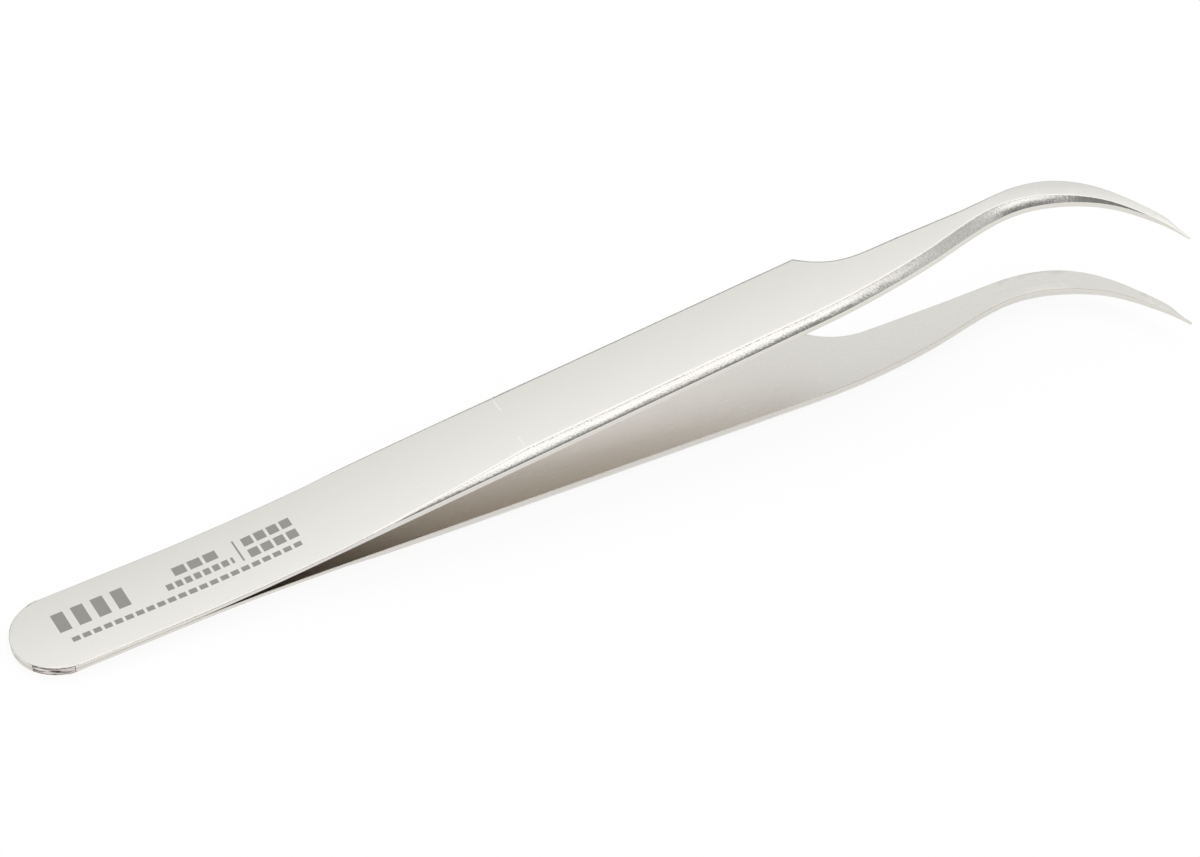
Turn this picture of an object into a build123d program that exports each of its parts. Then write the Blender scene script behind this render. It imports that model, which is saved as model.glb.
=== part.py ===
from build123d import *
import os
from math import acos, atan, cos, degrees, radians, sin, sqrt, tan

# Curved tweezers: two spring-steel arms lie flat on each other at the butt and are welded there.
# Each arm is drawn above the plane z = 0 where the two meet. x runs from the butt to the points,
# and the points curve towards -y. The lower arm is the mirror image of the upper one.

# Plan of an arm, in millimetres
LENGTH = 115.0
BUTT_WIDTH = 9.5
GRIP_END_NEAR = 4.37
GRIP_END_FAR = 4.55
HEAD_LENGTH = 35.0
HOOK_LENGTH = 17.0

# Notch that narrows the far edge from the grip to the neck
NOTCH_RADIUS = 6.8
NOTCH_RUN = 7.8
NECK_FAR = 1.68

# Near edge of the neck, with x counted from the start of the hook and y from the tool's middle
NECK_POINTS = [(-9.0, -3.68), (-4.0, -2.8)]

# Edges of the hook, with x counted from the tip and y from the tool's middle
HOOK_NEAR_START = -1.83
HOOK_NEAR_SLOPE = 0.22
HOOK_NEAR_POINTS = [(-11.4, -1.4), (-6.6, -3.35), (-3.7, -5.98), (-1.55, -9.4)]
HOOK_FAR_START = 1.56
HOOK_FAR_SLOPE = -0.01
HOOK_FAR_POINTS = [(-10.6, 1.27), (-7.3, 0.06), (-4.2, -2.74), (-2.0, -6.5), (-0.6, -9.9)]
POINT_DROP = 12.8
POINT_WIDTH = 0.2
POINT_DIRECTION = -72.0

# Side view of an arm: how its inner face leaves the middle plane
BEND_START = 14.5
BEND_LENGTH = 12.5
SPREAD_ANGLE = 4.07
BOW_LENGTH = 22.0
POINT_ANGLE = 1.35

# Thickness: thin at the weld, thickening along the ramp, tapering again along the hook
BUTT_THICKNESS = 0.45
RAMP_START = 31.0
RAMP_END = 50.0
GRIP_THICKNESS = 1.42
HOOK_THICKNESS = 1.52
POINT_THICKNESS = 0.15
TAPER_START = 0.08
TAPER_POWER = 1.4

# Ground bevels along both outer edges, above a narrow upright land. Leans are from upright; they
# change to those of the hook over a stretch that is counted from the start of the hook.
LAND_HEIGHT = 0.55
GRIP_LEAN = 46.0
NECK_LEAN = 43.0
HOOK_NEAR_LEAN = 40.0
HOOK_FAR_LEAN = 16.0
LEAN_CHANGE_START = 1.5
LEAN_CHANGE = 7.0

# Crown of the bevels: the lean at the land as a share of the mean lean, the share of that lean at
# which the grinding starts outside the arm, and how far it runs past the arm's outer face
CROWN_LAND_SHARE = 0.68
CROWN_ENTRY_SHARE = 0.75
CROWN_OVERRUN = 0.12

# Edge welds on the two rear corners, as beads set into a groove; angles from the rear, in degrees
WELD_START = 33.0
WELD_END = 82.0
WELD_DEPTH = 0.5
WELD_PROUD = 0.08
WELD_SHOULDER = 0.09

# How finely the bevels and the hook's taper follow the edges
GRIP_STATIONS = 9
NECK_STATIONS = 6
NOTCH_STATIONS = 6
HOOK_STATIONS = 11

# Where the bevels leave the straight edges of the grip, as shares of those edges
NEAR_BEVEL_END = 0.95
FAR_BEVEL_END = 1.05

# Direction in which the notch's bevel enters the arm, in degrees round the notch
NOTCH_ENTRY = 195.0

# Step in which the swell is searched along the tool
REST_STEP = 0.2

grip_end = LENGTH - HEAD_LENGTH
hook_start = LENGTH - HOOK_LENGTH
bow_start = hook_start - BOW_LENGTH
butt_radius = BUTT_WIDTH / 2
bend_radius = BEND_LENGTH / sin(radians(SPREAD_ANGLE))
bow_radius = BOW_LENGTH / (sin(radians(SPREAD_ANGLE)) - sin(radians(POINT_ANGLE)))
weld_height = 2 * (BUTT_THICKNESS - WELD_SHOULDER)
spread_slope = tan(radians(SPREAD_ANGLE))
near_slope = (butt_radius - GRIP_END_NEAR) / (grip_end - butt_radius)

# Cutting bodies, sized to pass through the arm everywhere
cut_height = 2 * HOOK_THICKNESS
cut_reach = 2 * LAND_HEIGHT
cut_width = 2 * (NECK_FAR - HOOK_NEAR_START)


def between(first, last, share):
    """Value between first and last, with the share held between 0 and 1."""
    return first + (last - first) * min(max(share, 0.0), 1.0)


def inner_height(x):
    """Height of the inner face over the middle plane: flat, bent, straight, then bowed back."""
    bend_end = BEND_START + BEND_LENGTH
    if x <= BEND_START:
        return 0.0
    if x <= bend_end:
        return bend_radius - sqrt(bend_radius**2 - (x - BEND_START) ** 2)
    bend_rise = bend_radius * (1 - cos(radians(SPREAD_ANGLE)))
    if x <= bow_start:
        return bend_rise + spread_slope * (x - bend_end)
    bow_rise = bend_rise + spread_slope * (bow_start - bend_end)
    if x <= hook_start:
        along = bow_radius * sin(radians(SPREAD_ANGLE)) - (x - bow_start)
        top = sqrt(bow_radius**2 - along**2)
        return bow_rise + top - bow_radius * cos(radians(SPREAD_ANGLE))
    return inner_height(hook_start) + tan(radians(POINT_ANGLE)) * (x - hook_start)


def thickness(x):
    """Thickness of an arm at x, up to the start of the hook."""
    if x >= bow_start:
        share = (x - bow_start) / BOW_LENGTH
        return GRIP_THICKNESS + (HOOK_THICKNESS - GRIP_THICKNESS) * share**2
    return between(BUTT_THICKNESS, GRIP_THICKNESS, (x - RAMP_START) / (RAMP_END - RAMP_START))


def shifted(points, start):
    """The points, moved along the tool by start."""
    return [(start + x, y) for x, y in points]


def point_end(side):
    """End of the far edge (side 1) or near edge (side -1) at the blunt point."""
    aim = radians(POINT_DIRECTION)
    half = side * POINT_WIDTH / 2
    return (LENGTH - POINT_WIDTH / 2 - half * sin(aim), -POINT_DROP + half * cos(aim))


def outline_edges():
    """Near and far edges of an arm in plan, each from the butt to the point."""
    grip_near = Line((butt_radius, -butt_radius), (grip_end, -GRIP_END_NEAR))
    neck_near = Spline(
        (grip_end, -GRIP_END_NEAR),
        *shifted(NECK_POINTS, hook_start),
        (hook_start, HOOK_NEAR_START),
        tangents=[(1, near_slope), (1, HOOK_NEAR_SLOPE)],
    )
    aim = radians(POINT_DIRECTION)
    hook_near = Spline(
        (hook_start, HOOK_NEAR_START),
        *shifted(HOOK_NEAR_POINTS, LENGTH),
        point_end(-1),
        tangents=[(1, HOOK_NEAR_SLOPE), (cos(aim), sin(aim))],
    )
    neck_x = grip_end + NOTCH_RUN
    centre_y = NECK_FAR + NOTCH_RADIUS
    turn = acos((centre_y - GRIP_END_FAR) / NOTCH_RADIUS)
    corner = (neck_x - NOTCH_RADIUS * sin(turn), centre_y - NOTCH_RADIUS * cos(turn))
    grip_far = Line((butt_radius, butt_radius), corner)
    notch = CenterArc((neck_x, centre_y), NOTCH_RADIUS, 270 - degrees(turn), degrees(turn))
    neck_far = Line((neck_x, NECK_FAR), (hook_start, HOOK_FAR_START))
    hook_far = Spline(
        (hook_start, HOOK_FAR_START),
        *shifted(HOOK_FAR_POINTS, LENGTH),
        point_end(1),
        tangents=[(1, HOOK_FAR_SLOPE), (cos(aim), sin(aim))],
    )
    return [grip_near, neck_near, hook_near], [grip_far, notch, neck_far, hook_far]


def plan_face(near, far):
    """Closed plan outline, with a half-round butt and a blunt point."""
    butt = ThreePointArc((butt_radius, butt_radius), (0, 0), (butt_radius, -butt_radius))
    blunt = Line(point_end(-1), point_end(1))
    return make_face([butt, *near, blunt, *far])


def side_face():
    """Side view of an arm from the butt to the start of the hook."""
    bend_end = BEND_START + BEND_LENGTH
    inner = [(x, inner_height(x)) for x in (0, BEND_START, bend_end, bow_start, hook_start)]
    outer = [
        (x, inner_height(x) + thickness(x))
        for x in (hook_start, bow_start, RAMP_END, RAMP_START, bend_end, BEND_START, 0)
    ]
    bend_middle = BEND_START + BEND_LENGTH / 2
    bow_middle = bow_start + BOW_LENGTH / 2
    under_bend = (bend_middle, inner_height(bend_middle))
    under_bow = (bow_middle, inner_height(bow_middle))
    over_bend = (bend_middle, inner_height(bend_middle) + thickness(bend_middle))
    over_bow = (bow_middle, inner_height(bow_middle) + thickness(bow_middle))
    lines = [
        Line(inner[0], inner[1]),
        ThreePointArc(inner[1], under_bend, inner[2]),
        Line(inner[2], inner[3]),
        ThreePointArc(inner[3], under_bow, inner[4]),
        Line(inner[4], outer[0]),
        ThreePointArc(outer[0], over_bow, outer[1]),
        Line(outer[1], outer[2]),
        Line(outer[2], outer[3]),
        Line(outer[3], outer[4]),
        ThreePointArc(outer[4], over_bend, outer[5]),
        Line(outer[5], outer[6]),
        Line(outer[6], inner[0]),
    ]
    return Plane.XZ * make_face(lines)


def upright_face(place, across, lines):
    """Face in the upright plane that holds the direction across, with z measured upwards."""
    plane = Plane(origin=place, x_dir=across, z_dir=across.cross(Vector(0, 0, 1)))
    return plane * make_face(lines)


def hook_block(hook_near, hook_far):
    """Block over the hook whose upper face tapers down to the point."""
    sections = []
    half = cut_width / 2
    for i in range(HOOK_STATIONS):
        u = i / (HOOK_STATIONS - 1)
        near = hook_near @ u
        far = hook_far @ u
        middle = (near + far) / 2
        across = Vector(0, 1, 0) if i == 0 else (far - near).normalized()
        low = inner_height(middle.X)
        tapered = max(u - TAPER_START, 0) / (1 - TAPER_START)
        high = low + between(HOOK_THICKNESS, POINT_THICKNESS, tapered**TAPER_POWER)
        lines = Polyline((-half, low), (half, low), (half, high), (-half, high), close=True)
        sections.append(upright_face(Vector(middle.X, middle.Y, 0), across, lines))
    return loft(sections)


def bevel_lean(x, hook_lean):
    """Mean lean of a bevel from upright at x: flattest on the grip, steepest on the hook."""
    change_start = hook_start + LEAN_CHANGE_START
    if x <= change_start:
        return between(GRIP_LEAN, NECK_LEAN, (x - bow_start) / (change_start - bow_start))
    return between(NECK_LEAN, hook_lean, (x - change_start) / LEAN_CHANGE)


def crowned_section(point, inwards, lean):
    """Section of the cutter: an arc that leans outwards more at the land than at the top."""
    rise = HOOK_THICKNESS - LAND_HEIGHT + CROWN_OVERRUN
    land_lean = lean * CROWN_LAND_SHARE
    top_lean = 2 * lean - land_lean
    radius = rise / (sin(radians(top_lean)) - sin(radians(land_lean)))
    base = inner_height(point.X) + LAND_HEIGHT

    def on_crown(at_lean):
        across = radius * (cos(radians(land_lean)) - cos(radians(at_lean)))
        up = radius * (sin(radians(at_lean)) - sin(radians(land_lean)))
        return (across, base + up)

    entry_lean = land_lean * CROWN_ENTRY_SHARE
    start = on_crown(entry_lean)
    end = on_crown(top_lean)
    arc = ThreePointArc(start, on_crown((entry_lean + top_lean) / 2), end)
    outside = Polyline(end, (-cut_reach, end[1]), (-cut_reach, start[1]), start)
    return upright_face(Vector(point.X, point.Y, 0), inwards, [arc, *outside.edges()])


def bevel_cutter(stations, hook_lean):
    """Body that grinds the bevel off an edge; each station is a point and the way inwards."""
    sections = [
        crowned_section(point, inwards, bevel_lean(point.X, hook_lean)) for point, inwards in stations
    ]
    return loft(sections)


def edge_stations(edge, side, first, last, count):
    """Points along an edge with the direction into the arm; side is 1 on the near edge."""
    found = []
    for i in range(count):
        u = first + (last - first) * i / (count - 1)
        along = edge % u
        found.append((edge @ u, Vector(-along.Y, along.X, 0) * side))
    return found


def weld_arc(inner_radius, outer_radius, side):
    """Ring segment around one rear corner of the butt; side is 1 on the far corner."""
    ring = Circle(outer_radius) - Circle(inner_radius)
    reach = 2 * BUTT_WIDTH
    start = radians(WELD_START)
    end = radians(WELD_END)
    wedge = make_face(
        Polyline(
            (0, 0),
            (-reach * cos(start), side * reach * sin(start)),
            (-reach * cos(end), side * reach * sin(end)),
            close=True,
        )
    )
    segment = extrude(ring & wedge, amount=weld_height / 2, both=True)
    return Pos(butt_radius, 0, 0) * segment


def weld_bead(side):
    """Weld bead that fills the groove and stands a little proud, with rounded outer edges."""
    bead = weld_arc(butt_radius - WELD_DEPTH, butt_radius + WELD_PROUD, side)
    middle = Vector(butt_radius, 0, 0)
    outer_face = bead.faces().sort_by(lambda face: (face.center() - middle).length)[-1]
    return fillet(outer_face.edges(), WELD_PROUD)


def upper_arm():
    """Upper arm: plan and side view crossed, then bevelled, with the weld grooves cut."""
    near, far = outline_edges()
    highest = inner_height(LENGTH) + cut_height
    prism = extrude(plan_face(near, far), amount=highest)
    body = extrude(side_face(), amount=BUTT_WIDTH, both=True)
    blank = prism & (body + hook_block(near[-1], far[-1]))
    grip_near, neck_near, hook_near = near
    grip_far, notch, neck_far, hook_far = far
    straight = (BEND_START + BEND_LENGTH - butt_radius) / (grip_end - butt_radius)
    near_cut = bevel_cutter(
        edge_stations(grip_near, 1, straight, NEAR_BEVEL_END, GRIP_STATIONS)
        + edge_stations(neck_near, 1, 0, 1, NECK_STATIONS)[1:]
        + edge_stations(hook_near, 1, 0, 1, HOOK_STATIONS)[1:],
        HOOK_NEAR_LEAN,
    )
    grip_cut = bevel_cutter(
        edge_stations(grip_far, -1, straight, FAR_BEVEL_END, GRIP_STATIONS),
        HOOK_FAR_LEAN,
    )
    notch_entry = CenterArc(notch.arc_center, NOTCH_RADIUS, NOTCH_ENTRY, 270 - NOTCH_ENTRY)
    notch_cut = bevel_cutter(
        edge_stations(notch_entry, -1, 0, 1, NOTCH_STATIONS)
        + edge_stations(neck_far, -1, 0, 1, NECK_STATIONS)[1:]
        + edge_stations(hook_far, -1, 0, 1, HOOK_STATIONS)[1:],
        HOOK_FAR_LEAN,
    )
    arm = blank - near_cut - grip_cut - notch_cut
    for side in (1, -1):
        arm -= weld_arc(butt_radius - WELD_DEPTH, BUTT_WIDTH, side)
    return arm


def rest_angle():
    """Tilt of the tool on a table: from the butt's rear edge to the swell of the lower arm."""
    steps = int(hook_start / REST_STEP)
    places = [hook_start * i / steps for i in range(1, steps + 1)]
    slopes = [(inner_height(x) + thickness(x) - BUTT_THICKNESS) / x for x in places]
    return degrees(atan(max(slopes)))


def build_parts():
    """All pieces in the resting place: on the butt's rear edge and the swell of the lower arm."""
    upper = upper_arm()
    pieces = {
        "upper_arm": upper,
        "lower_arm": mirror(upper, about=Plane.XY),
        "near_weld": weld_bead(-1),
        "far_weld": weld_bead(1),
    }
    turn = Rot(0, -rest_angle(), 0)
    turned = {name: turn * piece for name, piece in pieces.items()}
    box = Compound(list(turned.values())).bounding_box()
    shift = Pos(-(box.min.X + box.max.X) / 2, -(box.min.Y + box.max.Y) / 2, -box.min.Z)
    return {name: shift * piece for name, piece in turned.items()}


os.makedirs("parts", exist_ok=True)
for name, piece in build_parts().items():
    export_step(piece, f"parts/{name}.step")
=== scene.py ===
# %% [markdown]
# Curved tweezers of satin spring steel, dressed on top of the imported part.
# The part gives the true shape: two arms that lie flat on each other at the butt, where they are
# welded, and part towards two hooked points. This file adds the finish of the real tool: edges that
# were broken by hand, brushed flats, ground bevels, a rough weld, and plain etched bars near the butt.

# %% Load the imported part
import bpy
from math import atan2, cos, degrees, hypot, radians, sin
from mathutils import Matrix, Vector, noise


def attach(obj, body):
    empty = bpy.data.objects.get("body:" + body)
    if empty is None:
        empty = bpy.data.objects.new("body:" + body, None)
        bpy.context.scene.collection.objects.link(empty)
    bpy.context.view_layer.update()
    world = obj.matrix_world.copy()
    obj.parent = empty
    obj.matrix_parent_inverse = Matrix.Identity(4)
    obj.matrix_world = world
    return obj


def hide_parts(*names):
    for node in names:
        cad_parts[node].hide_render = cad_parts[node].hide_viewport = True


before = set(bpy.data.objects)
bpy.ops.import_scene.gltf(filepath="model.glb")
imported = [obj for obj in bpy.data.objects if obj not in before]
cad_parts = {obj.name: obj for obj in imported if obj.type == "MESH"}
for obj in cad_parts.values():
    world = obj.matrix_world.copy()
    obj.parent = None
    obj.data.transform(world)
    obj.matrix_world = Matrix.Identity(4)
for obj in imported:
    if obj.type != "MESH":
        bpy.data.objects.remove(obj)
bpy.context.view_layer.update()
MM = 0.001

# %% [markdown]
# The camera stands in front of the tool and a little to its left, and looks down at about 42 degrees
# through a long lens, so that the arms hardly converge.
# Its place is worked out from a direction and a distance, so each number means something.

# %% The camera
CAMERA_AZIMUTH = -25.66
CAMERA_ELEVATION = 42.198
CAMERA_ROLL = -1.545
CAMERA_DISTANCE = 594.35 * MM
CAMERA_AIM = Vector((1.021, 2.883, 3.789)) * MM
CAMERA_LENS = 192.99
SENSOR_WIDTH = 36.0


def direction(azimuth, elevation):
    """Unit vector from the tool towards azimuth and elevation in degrees; azimuth 0 is the front, -Y."""
    turn, rise = radians(azimuth), radians(elevation)
    return Vector((sin(turn) * cos(rise), -cos(turn) * cos(rise), sin(rise)))


def facing(place, aim, roll=0.0):
    """Matrix of a camera or lamp at place that looks at aim."""
    look = (aim - place).to_track_quat("-Z", "Y").to_matrix().to_4x4()
    return Matrix.Translation(place) @ look @ Matrix.Rotation(radians(roll), 4, "Z")


camera_data = bpy.data.cameras.new("camera")
camera_data.lens = CAMERA_LENS
camera_data.sensor_width = SENSOR_WIDTH
camera = bpy.data.objects.new("camera", camera_data)
bpy.context.scene.collection.objects.link(camera)
camera_place = CAMERA_AIM + direction(CAMERA_AZIMUTH, CAMERA_ELEVATION) * CAMERA_DISTANCE
camera.matrix_world = facing(camera_place, CAMERA_AIM, CAMERA_ROLL)
bpy.context.scene.camera = camera
print("camera in mm:", [round(value / MM, 1) for value in camera_place])

# %% [markdown]
# Polished steel has no colour of its own to speak of: it shows the room. White light from all sides
# keeps the flats evenly pale. Two small helpers, one for materials and one for Math nodes, keep the
# node trees that follow short.

# %% White surroundings
WHITE = (1.0, 1.0, 1.0, 1.0)

scene = bpy.context.scene
scene.view_settings.view_transform = "Standard"
world = bpy.data.worlds.new("white room")
world.use_nodes = True
world.node_tree.nodes["Background"].inputs["Color"].default_value = WHITE
world.node_tree.nodes["Background"].inputs["Strength"].default_value = 1.0
scene.world = world


def deselect():
    """Nothing selected, so that the next operator acts on its own object only."""
    if bpy.context.object and bpy.context.object.mode != "OBJECT":
        bpy.ops.object.mode_set(mode="OBJECT")
    bpy.ops.object.select_all(action="DESELECT")


def new_material(name):
    """An empty node material, its tree and its output node."""
    material = bpy.data.materials.new(name)
    material.use_nodes = True
    material.node_tree.nodes.clear()
    output = material.node_tree.nodes.new("ShaderNodeOutputMaterial")
    return material, material.node_tree, output


def maths(tree, operation, first, second):
    """A Math node; each of its two inputs is an output of another node or a number."""
    node = tree.nodes.new("ShaderNodeMath")
    node.operation = operation
    for socket, value in zip(node.inputs, (first, second)):
        if isinstance(value, (int, float)):
            socket.default_value = value
        else:
            tree.links.new(value, socket)
    return node.outputs[0]


print("world:", world.name)

# %% [markdown]
# The floor is white paper. Light Path makes it as white as a blank page to the camera, and nearly as
# white in reflections, while a part of it stays a real matt surface that takes the tool's soft shadow.
# One broad lamp gives that shadow its direction. Reflections don't see the lamp itself.

# %% The paper floor and one broad lamp
PAPER_COLOR = (0.88, 0.88, 0.87, 1.0)
PAPER_GLOW_TO_CAMERA = 0.90
PAPER_GLOW_IN_MIRRORS = 0.62
PAPER_SIZE = 6.0
LAMP_AZIMUTH = 150
LAMP_ELEVATION = 60
LAMP_DISTANCE = 1.2
LAMP_SIZE = 0.9
LAMP_POWER = 3.0

paper, paper_tree, paper_output = new_material("white paper")
matt = paper_tree.nodes.new("ShaderNodeBsdfDiffuse")
matt.inputs["Color"].default_value = PAPER_COLOR
glow = paper_tree.nodes.new("ShaderNodeEmission")
glow.inputs["Color"].default_value = WHITE
rays = paper_tree.nodes.new("ShaderNodeLightPath")
to_camera = maths(paper_tree, "MULTIPLY", rays.outputs["Is Camera Ray"], PAPER_GLOW_TO_CAMERA)
mirrored = maths(paper_tree, "MAXIMUM", rays.outputs["Is Glossy Ray"], rays.outputs["Is Transmission Ray"])
in_mirrors = maths(paper_tree, "MULTIPLY", mirrored, PAPER_GLOW_IN_MIRRORS)
blend = paper_tree.nodes.new("ShaderNodeMixShader")
paper_tree.links.new(maths(paper_tree, "MAXIMUM", to_camera, in_mirrors), blend.inputs["Fac"])
paper_tree.links.new(matt.outputs[0], blend.inputs[1])
paper_tree.links.new(glow.outputs[0], blend.inputs[2])
paper_tree.links.new(blend.outputs[0], paper_output.inputs["Surface"])

deselect()
bpy.ops.mesh.primitive_plane_add(size=PAPER_SIZE)
floor = bpy.context.object
floor.name = "floor"
floor.data.materials.append(paper)

lamp_data = bpy.data.lights.new("broad lamp", "AREA")
lamp_data.size = LAMP_SIZE
lamp_data.energy = LAMP_POWER
lamp = bpy.data.objects.new("broad lamp", lamp_data)
lamp_place = direction(LAMP_AZIMUTH, LAMP_ELEVATION) * LAMP_DISTANCE
lamp.matrix_world = facing(lamp_place, Vector((0, 0, 0)))
lamp.visible_glossy = False
scene.collection.objects.link(lamp)
print("floor:", PAPER_SIZE, "m wide; lamp:", LAMP_POWER, "W")

# %% [markdown]
# With white on all sides a bevel would vanish. A photographer hangs grey and bright cloths round the
# tool, and the steel shows them as lines along its edges. Here they are the panels of a round tent
# that only reflections see: a sphere is added, each of its faces gets the cloth that hangs in its
# direction, and the faces without a cloth are deleted, so that the white room shows through.

# %% A tent of grey and bright panels
TENT_RADIUS = 1.5
TENT_STEP = 5
CLOTH_BLUE_SHARE = 0.98
TENT_PANELS = [
    # name, azimuth from and to, elevation from and to in degrees, brightness
    ("front low", -25, 30, 0, 30, 0.26),
    ("front box", -20, 30, 35, 55, 1.30),
    ("front gap", -25, 30, 55, 65, 0.30),
    ("left", -100, -30, 0, 60, 0.26),
    ("right", 35, 85, 0, 65, 0.58),
    ("overhead", -180, 180, 65, 90, 1.30),
    ("back high", 120, 180, 50, 65, 1.15),
    ("back high", -180, -120, 50, 65, 1.15),
    ("back low", 105, 180, 0, 27, 0.12),
    ("back low", -180, -105, 0, 27, 0.12),
]

deselect()
bpy.ops.mesh.primitive_uv_sphere_add(
    segments=360 // TENT_STEP, ring_count=180 // TENT_STEP, radius=TENT_RADIUS
)
tent = bpy.context.object
tent.name = "tent"
cloths = {}
for name, low_az, high_az, low_el, high_el, level in TENT_PANELS:
    if name in cloths:
        continue
    material, tree, output = new_material("cloth " + name)
    surface = tree.nodes.new("ShaderNodeEmission")
    surface.inputs["Color"].default_value = (level, level, level * CLOTH_BLUE_SHARE, 1.0)
    tree.links.new(surface.outputs[0], output.inputs["Surface"])
    cloths[name] = len(tent.data.materials)
    tent.data.materials.append(material)


def cloth_towards(face):
    """Name of the cloth that hangs where the face is, or None."""
    azimuth = degrees(atan2(face.center.x, -face.center.y))
    elevation = degrees(atan2(face.center.z, hypot(face.center.x, face.center.y)))
    for name, low_az, high_az, low_el, high_el, level in TENT_PANELS:
        if low_az < azimuth < high_az and low_el < elevation < high_el:
            return name
    return None


def select_faces(piece, wanted):
    """Leaves edit mode's face selection with just the faces that wanted picks."""
    for vertex in piece.data.vertices:
        vertex.select = False
    for edge in piece.data.edges:
        edge.select = False
    for face in piece.data.polygons:
        face.select = wanted(face)
    bpy.context.tool_settings.mesh_select_mode = (False, False, True)


for face in tent.data.polygons:
    face.material_index = cloths.get(cloth_towards(face), 0)
select_faces(tent, lambda face: cloth_towards(face) is None)
bpy.ops.object.mode_set(mode="EDIT")
bpy.ops.mesh.delete(type="FACE")
bpy.ops.object.mode_set(mode="OBJECT")
tent.visible_camera = False
tent.visible_diffuse = False
tent.visible_shadow = False
print("tent:", len(tent.data.polygons), "panels of", TENT_STEP, "degrees")

# %% [markdown]
# The finish of an arm follows the arm: brush lines run along it and round the hook, and grinding marks
# on the bevels run across it. So each arm gets a UV map in millimetres, along and across, and the
# patterns read that map. On the real tool the flats were brushed lengthwise and then dulled a little,
# which leaves faint streaks. Noise that is stretched in one direction makes such streaks, and one node
# group serves every finish, each with its own stretch.

# %% Streaks in one direction
STREAK_DETAIL = 3.0
STREAK_BROKENNESS = 0.6


def number_socket(group, name, in_out, default=1.0):
    """A number socket on one side of a node group."""
    socket = group.interface.new_socket(name=name, in_out=in_out, socket_type="NodeSocketFloat")
    if in_out == "INPUT":
        socket.default_value = default


def new_group(name):
    """A node group that takes a vector, with its input node and its output node."""
    group = bpy.data.node_groups.new(name, "ShaderNodeTree")
    group.interface.new_socket(name="Vector", in_out="INPUT", socket_type="NodeSocketVector")
    return group, group.nodes.new("NodeGroupInput"), group.nodes.new("NodeGroupOutput")


def streak_group():
    """Noise between 0 and 1 with so many waves to the millimetre along and across; Skew leans it."""
    group, entry, leave = new_group("streaks")
    number_socket(group, "Along", "INPUT")
    number_socket(group, "Across", "INPUT")
    number_socket(group, "Skew", "INPUT", 0.0)
    number_socket(group, "Streaks", "OUTPUT")
    parts = group.nodes.new("ShaderNodeSeparateXYZ")
    group.links.new(entry.outputs["Vector"], parts.inputs[0])
    lean = maths(group, "MULTIPLY", parts.outputs["Y"], entry.outputs["Skew"])
    along = maths(group, "ADD", parts.outputs["X"], lean)
    scaled = group.nodes.new("ShaderNodeCombineXYZ")
    group.links.new(maths(group, "MULTIPLY", along, entry.outputs["Along"]), scaled.inputs["X"])
    across = maths(group, "MULTIPLY", parts.outputs["Y"], entry.outputs["Across"])
    group.links.new(across, scaled.inputs["Y"])
    texture = group.nodes.new("ShaderNodeTexNoise")
    texture.inputs["Scale"].default_value = 1.0
    texture.inputs["Detail"].default_value = STREAK_DETAIL
    texture.inputs["Roughness"].default_value = STREAK_BROKENNESS
    group.links.new(scaled.outputs[0], texture.inputs["Vector"])
    group.links.new(texture.outputs["Fac"], leave.inputs["Streaks"])
    return group


streaks = streak_group()
print("group:", streaks.name, [item.name for item in streaks.interface.items_tree])

# %% [markdown]
# Near the butt the upper arm carries plain bars and dashes, etched as dull grey areas into the satin
# surface. A row of them is a mask: 1 between two heights and two ends, and cut into equal steps of
# which a share is filled. A group makes one row, and each row is this group with its own numbers. The
# faint line where the grinding stopped, painted paler as a highlight along that crease, is made of two
# short rows as well.

# %% Rows of etched bars
ROW_NUMBERS = ("Start", "End", "Low", "High", "Pitch", "Filled")
ETCHED_ROWS = [
    # start, end, low, high, pitch, filled; x of the tool and height over its middle, in millimetres
    (-53.0, -45.2, -0.30, 2.20, 1.95, 0.62),
    (-52.4, -29.3, -1.95, -1.35, 1.05, 0.72),
    (-41.1, -36.7, 0.90, 2.00, 1.55, 0.80),
    (-42.4, -35.7, -0.50, 0.30, 0.92, 0.70),
    (-35.02, -34.84, -0.72, 2.14, 1.0, 1.0),
    (-34.2, -29.2, 0.85, 1.95, 1.28, 0.78),
    (-34.2, -29.2, -0.75, 0.35, 1.28, 0.78),
]
WITNESS_HIGHLIGHT_ROWS = [
    # the painted highlight of the faint line shows at its two ends only
    (-7.80, -7.66, -3.4, -1.9, 1.0, 1.0),
    (-7.66, -7.52, 1.9, 3.5, 1.0, 1.0),
]


def between(group, value, low, high):
    """1 where the value lies between low and high, and 0 elsewhere."""
    above = maths(group, "GREATER_THAN", value, low)
    return maths(group, "MULTIPLY", above, maths(group, "LESS_THAN", value, high))


def bar_row_group():
    """Mask of one row of bars, in the millimetres of the arm's UV map."""
    group, entry, leave = new_group("bar row")
    for name in ROW_NUMBERS:
        number_socket(group, name, "INPUT")
    number_socket(group, "Mask", "OUTPUT")
    parts = group.nodes.new("ShaderNodeSeparateXYZ")
    group.links.new(entry.outputs["Vector"], parts.inputs[0])
    x, y = parts.outputs["X"], parts.outputs["Y"]
    inside_x = between(group, x, entry.outputs["Start"], entry.outputs["End"])
    inside_y = between(group, y, entry.outputs["Low"], entry.outputs["High"])
    from_start = maths(group, "SUBTRACT", x, entry.outputs["Start"])
    steps = maths(group, "DIVIDE", from_start, entry.outputs["Pitch"])
    filled = maths(group, "LESS_THAN", maths(group, "FRACT", steps, 0.0), entry.outputs["Filled"])
    mask = maths(group, "MULTIPLY", maths(group, "MULTIPLY", inside_x, inside_y), filled)
    group.links.new(mask, leave.inputs["Mask"])
    return group


bar_row = bar_row_group()


def rows_mask(tree, uv, rows):
    """Mask of all the rows together."""
    mask = None
    for row in rows:
        bars = tree.nodes.new("ShaderNodeGroup")
        bars.node_tree = bar_row
        tree.links.new(uv, bars.inputs["Vector"])
        for name, value in zip(ROW_NUMBERS, row):
            bars.inputs[name].default_value = value
        filled = bars.outputs["Mask"]
        mask = filled if mask is None else maths(tree, "MAXIMUM", mask, filled)
    return mask


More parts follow.
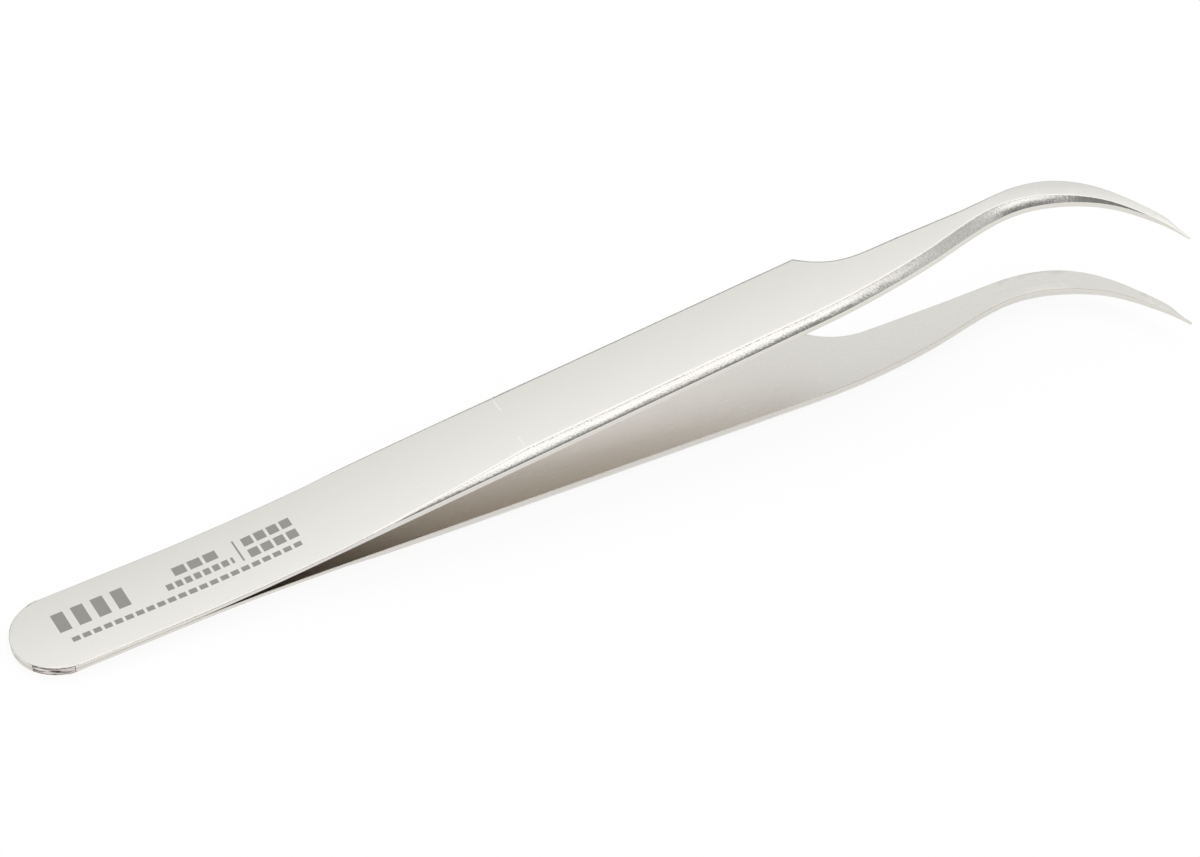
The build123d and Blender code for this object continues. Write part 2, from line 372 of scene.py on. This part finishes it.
print("etched rows:", len(ETCHED_ROWS))

# %% [markdown]
# Three node helpers come before the finishes: one mixes two colours, one moves a value from one range
# into another, and one sets up the streaks with a finish's own numbers.

# %% Node helpers
def mixed(tree, factor, first, second):
    """Color that runs from first to second; each is a color or an output of a node."""
    node = tree.nodes.new("ShaderNodeMix")
    node.data_type = "RGBA"
    tree.links.new(factor, node.inputs["Factor"])
    for name, value in (("A", first), ("B", second)):
        if isinstance(value, tuple):
            node.inputs[name].default_value = (*value, 1.0)
        else:
            tree.links.new(value, node.inputs[name])
    return node.outputs["Result"]


def ranged(tree, value, low, high, to_low, to_high, smooth=False):
    """The value moved from one range into another, and held there."""
    node = tree.nodes.new("ShaderNodeMapRange")
    node.interpolation_type = "SMOOTHSTEP" if smooth else "LINEAR"
    tree.links.new(value, node.inputs["Value"])
    for name, number in (("From Min", low), ("From Max", high), ("To Min", to_low), ("To Max", to_high)):
        node.inputs[name].default_value = number
    return node.outputs["Result"]


def streaked(tree, uv, along, across, skew=0.0):
    """Output of the streak group with its own numbers."""
    node = tree.nodes.new("ShaderNodeGroup")
    node.node_tree = streaks
    node.inputs["Along"].default_value = along
    node.inputs["Across"].default_value = across
    node.inputs["Skew"].default_value = skew
    tree.links.new(uv, node.inputs["Vector"])
    return node.outputs["Streaks"]


# %% [markdown]
# Four finishes make up an arm. The outer flat is satin and pale; its colour is painted a little brighter
# towards the edge that the hook bends to and much brighter on the hook, as painted sheen and a painted
# highlight. The inner flat is duller, because it wasn't polished after hardening, and its colour is
# painted darker and warmer between the two arms, as painted shade and warm light bounced between them;
# on the neck, where the arms part, it is neutral again. The bevels carry a grain and the outer flat's
# painted sheen and shade, and the land below them is smooth. One function builds them all: it mixes two
# tones over the width, adds streaks to tone, roughness and relief, and lays the etched bars over them
# where a finish has marks.

# %% How a steel finish is built
HALF_WIDTH = 4.5
LOW_STREAK = 0.2
HIGH_STREAK = 0.8
# On the hook the colour is painted much brighter at the near edge: a painted highlight.
HOOK_HIGHLIGHT_NEAR = (0.97, 0.96, 0.93)
HOOK_HIGHLIGHT_FAR = (0.71, 0.70, 0.67)
HOOK_HIGHLIGHT_NEAR_EDGE = -2.0
HOOK_HIGHLIGHT_FAR_EDGE = 1.4
HOOK_HIGHLIGHT_FROM = 36.0
HOOK_HIGHLIGHT_TO = 50.0
# The inner flats are painted darker and warmer where the arms lie close: painted shade and bounced light,
# gone on the neck.
NECK_INNER_UNSHADED = (0.715, 0.70, 0.665)
SHADE_FULL_UP_TO = 0.0
SHADE_GONE_FROM = 30.0
ETCHED_TONE = (0.36, 0.355, 0.33)
ETCHED_ROUGHER = 0.2
# The witness line is painted paler: a painted highlight along the crease where the grinding stopped.
WITNESS_HIGHLIGHT_TONE = (0.98, 0.97, 0.95)
WITNESS_HIGHLIGHT_SHARE = 0.4


def hook_highlight(tree, parts, tone):
    """The tone, turned on the hook into a painted highlight that is brightest at the near edge."""
    x, y = parts.outputs["X"], parts.outputs["Y"]
    on_hook = ranged(tree, x, HOOK_HIGHLIGHT_FROM, HOOK_HIGHLIGHT_TO, 0.0, 1.0, smooth=True)
    over_hook = ranged(tree, y, HOOK_HIGHLIGHT_NEAR_EDGE, HOOK_HIGHLIGHT_FAR_EDGE, 0.0, 1.0)
    return mixed(tree, on_hook, tone, mixed(tree, over_hook, HOOK_HIGHLIGHT_NEAR, HOOK_HIGHLIGHT_FAR))


def shade_fades_at_neck(tree, parts, tone):
    """The tone, with its painted shade between the arms fading out from the grip to the neck."""
    on_neck = ranged(tree, parts.outputs["X"], SHADE_FULL_UP_TO, SHADE_GONE_FROM, 0.0, 1.0, smooth=True)
    return mixed(tree, on_neck, tone, NECK_INNER_UNSHADED)


def steel(name, near, far, roughness, spread, along, across, relief, contrast, skew=0.0,
          marks=False, painted_light_along=None):
    """Satin steel: near and far tones over the width, a painted sheen and shade across the arm where they
    differ, and streaks in tone, roughness and relief.
    """
    material, tree, output = new_material(name)
    shader = tree.nodes.new("ShaderNodeBsdfPrincipled")
    shader.inputs["Metallic"].default_value = 1.0
    uv_node = tree.nodes.new("ShaderNodeUVMap")
    uv_node.uv_map = "along_arm"
    uv = uv_node.outputs["UV"]
    parts = tree.nodes.new("ShaderNodeSeparateXYZ")
    tree.links.new(uv, parts.inputs[0])
    over_width = ranged(tree, parts.outputs["Y"], -HALF_WIDTH, HALF_WIDTH, 0.0, 1.0)
    tone = mixed(tree, over_width, near, far)
    # A painted highlight on the hook of the outer flats, painted shade between the arms on the inner ones.
    if painted_light_along:
        tone = painted_light_along(tree, parts, tone)
    lines = streaked(tree, uv, along, across, skew)
    shade = ranged(tree, lines, LOW_STREAK, HIGH_STREAK, 1.0 - contrast, 1.0 + contrast)
    scaled = tree.nodes.new("ShaderNodeVectorMath")
    scaled.operation = "SCALE"
    tree.links.new(tone, scaled.inputs[0])
    tree.links.new(shade, scaled.inputs["Scale"])
    tone = scaled.outputs[0]
    rough = ranged(tree, lines, LOW_STREAK, HIGH_STREAK, roughness - spread, roughness + spread)
    if marks:
        # The witness line's painted highlight, then the etched bars.
        witness_highlight = maths(tree, "MULTIPLY", rows_mask(tree, uv, WITNESS_HIGHLIGHT_ROWS), WITNESS_HIGHLIGHT_SHARE)
        tone = mixed(tree, witness_highlight, tone, WITNESS_HIGHLIGHT_TONE)
        etched = rows_mask(tree, uv, ETCHED_ROWS)
        tone = mixed(tree, etched, tone, ETCHED_TONE)
        rough = maths(tree, "ADD", rough, maths(tree, "MULTIPLY", etched, ETCHED_ROUGHER))
    tree.links.new(tone, shader.inputs["Base Color"])
    tree.links.new(rough, shader.inputs["Roughness"])
    bump = tree.nodes.new("ShaderNodeBump")
    bump.inputs["Strength"].default_value = 1.0
    bump.inputs["Distance"].default_value = relief * MM
    tree.links.new(lines, bump.inputs["Height"])
    tree.links.new(bump.outputs["Normal"], shader.inputs["Normal"])
    tree.links.new(shader.outputs["BSDF"], output.inputs["Surface"])
    return material


# %% [markdown]
# Each finish has its own numbers. Roughness goes up and down by its spread with the streaks. Along and
# across say how many waves the streaks have to the millimetre, relief is how deep they are in
# millimetres, and contrast how far they change the tone.

# %% The finishes of an arm
# The outer tones paint sheen at the near edge and shade at the far one; the bevels take them too.
OUTER_LIT_NEAR = (0.82, 0.805, 0.765)
OUTER_SHADED_FAR = (0.705, 0.695, 0.665)
# Inner tones darker and warmer than the neck's: painted shade and bounced light between the arms.
INNER_SHADED_NEAR = (0.655, 0.60, 0.54)
INNER_SHADED_FAR = (0.715, 0.69, 0.65)
LAND_TONE = (0.76, 0.735, 0.69)

outer_finish = {
    "near": OUTER_LIT_NEAR,
    "far": OUTER_SHADED_FAR,
    "roughness": 0.30,
    "spread": 0.04,
    "along": 0.2,
    "across": 7.0,
    "relief": 0.0015,
    "contrast": 0.012,
    "painted_light_along": hook_highlight,
}
outer_steel = steel("satin outer flat", **outer_finish)
marked_steel = steel("satin outer flat with etched bars", marks=True, **outer_finish)
inner_steel = steel(
    "brushed inner flat",
    near=INNER_SHADED_NEAR,
    far=INNER_SHADED_FAR,
    roughness=0.31,
    spread=0.07,
    along=0.35,
    across=4.0,
    relief=0.006,
    contrast=0.05,
    skew=0.8,
    painted_light_along=shade_fades_at_neck,
)
bevel_steel = steel(
    "ground bevel",
    near=OUTER_LIT_NEAR,
    far=OUTER_SHADED_FAR,
    roughness=0.17,
    spread=0.05,
    along=5.6,
    across=3.4,
    relief=0.019,
    contrast=0.16,
    skew=0.2,
)
land_steel = steel(
    "smooth land",
    near=LAND_TONE,
    far=LAND_TONE,
    roughness=0.26,
    spread=0.03,
    along=0.5,
    across=6.0,
    relief=0.003,
    contrast=0.02,
)
arm_finishes = (outer_steel, marked_steel, inner_steel, bevel_steel, land_steel)
print("finishes:", [item.name for item in arm_finishes])

# %% [markdown]
# The arms are copies of the part's own solids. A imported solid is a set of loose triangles, so a copy is
# first merged into one closed mesh. Places on it are given as a distance along the arm and across it,
# and round the hook the distance along follows the arc of the bend.

# %% Copies of the solids
MERGE_DISTANCE = 0.0001
HOOK_START_X = 40.5
MIDDLE_Y = 4.03
HOOK_BEND_RADIUS = 17.7


def along_arm(x, y):
    """Distance along the arm and across it, following the bend of the hook, all in millimetres."""
    if x <= HOOK_START_X:
        return x, y - MIDDLE_Y
    out_x = x - HOOK_START_X
    out_y = y - (MIDDLE_Y - HOOK_BEND_RADIUS)
    along = HOOK_START_X + HOOK_BEND_RADIUS * atan2(out_x, out_y)
    return along, hypot(out_x, out_y) - HOOK_BEND_RADIUS


def only(piece):
    """The piece as the one selected and active object."""
    deselect()
    piece.select_set(True)
    bpy.context.view_layer.objects.active = piece


def closed_copy(node, name):
    """A copy of a node of the part, its loose triangles merged into one closed mesh."""
    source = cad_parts[node]
    piece = source.copy()
    piece.data = source.data.copy()
    piece.name = piece.data.name = name
    piece.parent = None
    scene.collection.objects.link(piece)
    only(piece)
    bpy.ops.object.mode_set(mode="EDIT")
    bpy.ops.mesh.select_all(action="SELECT")
    bpy.ops.mesh.customdata_custom_splitnormals_clear()
    bpy.ops.mesh.remove_doubles(threshold=MERGE_DISTANCE * MM)
    bpy.ops.object.mode_set(mode="OBJECT")
    return piece


# %% [markdown]
# No edge of a real tool is a knife: the rims of the outer flats are broken softly and catch the light
# as a fine bright line, while the other edges stay crisper. A Bevel modifier rounds each edge by its
# own weight, which depends on where the edge lies and gets smaller towards the point. A Weighted
# Normal modifier keeps the large flats flat where they meet the rounding.

# %% Softened edges
TIP = (57.5, -8.8)
BUTT_END_X = -52.6
FLAT_NORMAL = 0.93
SHARP_ANGLE = 24
RIM_WIDTH = 0.15
HOOK_RIM_WIDTH = 0.10
BUTT_RIM_WIDTH = 0.06
CRISP_WIDTH = 0.07
TAPER_REACH = 16.0
SMALLEST_SHARE = 0.2
ROUNDING_SEGMENTS = 4


def rim_width(place, outside_rim):
    """Width in millimetres by which the edge at place is rounded."""
    x, y = place.x / MM, place.y / MM
    to_tip = hypot(x - TIP[0], y - TIP[1])
    taper = min(1.0, max(SMALLEST_SHARE, to_tip / TAPER_REACH))
    if not outside_rim:
        return CRISP_WIDTH * taper
    if x < BUTT_END_X:
        return BUTT_RIM_WIDTH
    if x > HOOK_START_X:
        return HOOK_RIM_WIDTH * taper
    return RIM_WIDTH


def weigh_edges(piece, outside):
    """Bevel weight of each sharp edge, as a share of the rim's width."""
    mesh = piece.data
    faces_of = {}
    for face in mesh.polygons:
        for key in face.edge_keys:
            faces_of.setdefault(key, []).append(face)
    weights = mesh.attributes.new("bevel_weight_edge", "FLOAT", "EDGE")
    count = 0
    for edge in mesh.edges:
        first, second = faces_of[edge.key]
        if degrees(first.normal.angle(second.normal)) < SHARP_ANGLE:
            continue
        rim = max(first.normal.z * outside, second.normal.z * outside) > FLAT_NORMAL
        middle = (mesh.vertices[edge.vertices[0]].co + mesh.vertices[edge.vertices[1]].co) / 2
        weights.data[edge.index].value = rim_width(middle, rim) / RIM_WIDTH
        count += 1
    return count


def soften(piece):
    """Rounds the weighted edges, then shades the curves smooth and keeps the flats flat."""
    only(piece)
    rounding = piece.modifiers.new("softened edges", "BEVEL")
    rounding.width = RIM_WIDTH * MM
    rounding.segments = ROUNDING_SEGMENTS
    rounding.limit_method = "WEIGHT"
    rounding.use_clamp_overlap = False
    bpy.ops.object.modifier_apply(modifier=rounding.name)
    bpy.ops.object.shade_smooth_by_angle(angle=radians(SHARP_ANGLE))
    flattened = piece.modifiers.new("flat faces", "WEIGHTED_NORMAL")
    flattened.keep_sharp = True
    bpy.ops.object.modifier_apply(modifier=flattened.name)


# %% [markdown]
# Which finish a face gets depends on the way it looks: outwards for the outer flat, inwards for the
# inner one, slanting for a bevel and sideways for the land. The UV map is in millimetres. On a bevel it
# is stretched by the slope, and on the land it runs over the height.

# %% The finish of each face
OUTER, INNER, BEVEL, LAND = range(4)
LAND_NORMAL = 0.1
BEVEL_STRETCH = 1.4


def side_of(up):
    """Side of the arm that a face lies on, from how far its normal looks outwards."""
    if up > FLAT_NORMAL:
        return OUTER
    if up < -FLAT_NORMAL:
        return INNER
    return BEVEL if up > LAND_NORMAL else LAND


def finish_by_direction(piece, outside, outer):
    """Gives each face the finish and the UV map of the side of the arm that it lies on."""
    mesh = piece.data
    mesh.materials.clear()
    for material in (outer, inner_steel, bevel_steel, land_steel):
        mesh.materials.append(material)
    while mesh.uv_layers:
        mesh.uv_layers.remove(mesh.uv_layers[0])
    layer = mesh.uv_layers.new(name="along_arm")
    for face in mesh.polygons:
        face.material_index = side_of(face.normal.z * outside)
        for loop in face.loop_indices:
            place = mesh.vertices[mesh.loops[loop].vertex_index].co / MM
            along, across = along_arm(place.x, place.y)
            if face.material_index == BEVEL:
                across *= BEVEL_STRETCH
            if face.material_index == LAND:
                across = place.z
            layer.data[loop].uv = (along, across)


# %% [markdown]
# The two arms are mirror images: the outside of the upper one looks up and that of the lower one looks
# down. Only the upper arm has the etched bars.

# %% The two arms
for node, outside, outer in (("upper_arm", 1, marked_steel), ("lower_arm", -1, outer_steel)):
    arm = closed_copy(node, node + "_steel")
    rounded = weigh_edges(arm, outside)
    soften(arm)
    finish_by_direction(arm, outside, outer)
    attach(arm, "root")
    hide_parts(node)
    print(arm.name, rounded, "edges rounded,", len(arm.data.polygons), "faces")

# %% [markdown]
# The two arms are held by short edge welds on the rear corners. Such a bead is laid by hand and filed
# only roughly: it shows dark layers that run along it, with a brownish stain from the heat. The same
# waves to the millimetre serve the layers in the colour and, further on, those in the shape.

# %% The finish of the welds
WELD_LAYERS = Vector((0.9, 0.9, 5.5))
WELD_DARK = (0.11, 0.095, 0.09)
WELD_BRIGHT = (0.80, 0.735, 0.70)
WELD_DETAIL = 4.0
WELD_RELIEF = 0.03


def weld_material():
    """Rough stained steel with dark layers, on Object coordinates."""
    material, tree, output = new_material("rough weld")
    shader = tree.nodes.new("ShaderNodeBsdfPrincipled")
    shader.inputs["Metallic"].default_value = 1.0
    place = tree.nodes.new("ShaderNodeTexCoord")
    stretch = tree.nodes.new("ShaderNodeMapping")
    stretch.inputs["Scale"].default_value = WELD_LAYERS / MM
    tree.links.new(place.outputs["Object"], stretch.inputs["Vector"])
    layers = tree.nodes.new("ShaderNodeTexNoise")
    layers.inputs["Scale"].default_value = 1.0
    layers.inputs["Detail"].default_value = WELD_DETAIL
    tree.links.new(stretch.outputs[0], layers.inputs["Vector"])
    bands = ranged(tree, layers.outputs["Fac"], 0.38, 0.60, 0.0, 1.0, smooth=True)
    rough = ranged(tree, layers.outputs["Fac"], 0.3, 0.7, 0.6, 0.35)
    tree.links.new(mixed(tree, bands, WELD_DARK, WELD_BRIGHT), shader.inputs["Base Color"])
    tree.links.new(rough, shader.inputs["Roughness"])
    bump = tree.nodes.new("ShaderNodeBump")
    bump.inputs["Distance"].default_value = WELD_RELIEF * MM
    tree.links.new(layers.outputs["Fac"], bump.inputs["Height"])
    tree.links.new(bump.outputs["Normal"], shader.inputs["Normal"])
    tree.links.new(shader.outputs["BSDF"], output.inputs["Surface"])
    return material


rough_weld = weld_material()
print("finish:", rough_weld.name)

# %% [markdown]
# A bead of the part is copied and remeshed into small even faces. Then its points are pushed inwards by
# a noise that is stretched along the bead, which gives the layers of the weld. Every point is held
# inside the box of the plain bead, so the tool keeps its size.

# %% The weld beads
WELD_VOXEL = 0.05
WELD_CLEAR = 0.03
WELD_DEPTH = 0.07
WELD_MARGIN = 0.01


def own_box(piece):
    """Lowest and highest corner of the piece, each drawn in by a small margin."""
    corners = [Vector(corner) for corner in piece.bound_box]
    low = [min(corner[axis] for corner in corners) + WELD_MARGIN * MM for axis in range(3)]
    high = [max(corner[axis] for corner in corners) - WELD_MARGIN * MM for axis in range(3)]
    return low, high


def remesh(piece):
    """Turns the piece into small even faces."""
    even = piece.modifiers.new("even faces", "REMESH")
    even.mode = "VOXEL"
    even.voxel_size = WELD_VOXEL * MM
    only(piece)
    bpy.ops.object.modifier_apply(modifier=even.name)


def push_layers_in(piece, low, high):
    """Moves each point inwards by the noise of the layers, and holds it in the box."""
    for vertex in piece.data.vertices:
        layer = noise.noise(Vector(a * b for a, b in zip(vertex.co / MM, WELD_LAYERS)))
        vertex.co -= vertex.normal * MM * (WELD_CLEAR + WELD_DEPTH * (0.5 + layer) / 1.5)
        for axis in range(3):
            vertex.co[axis] = min(high[axis], max(low[axis], vertex.co[axis]))


for node in ("near_weld", "far_weld"):
    bead = closed_copy(node, node + "_bead")
    low, high = own_box(bead)
    remesh(bead)
    push_layers_in(bead, low, high)
    bpy.ops.object.shade_smooth()
    bead.data.materials.clear()
    bead.data.materials.append(rough_weld)
    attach(bead, "root")
    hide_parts(node)
    print(bead.name, len(bead.data.polygons), "faces")
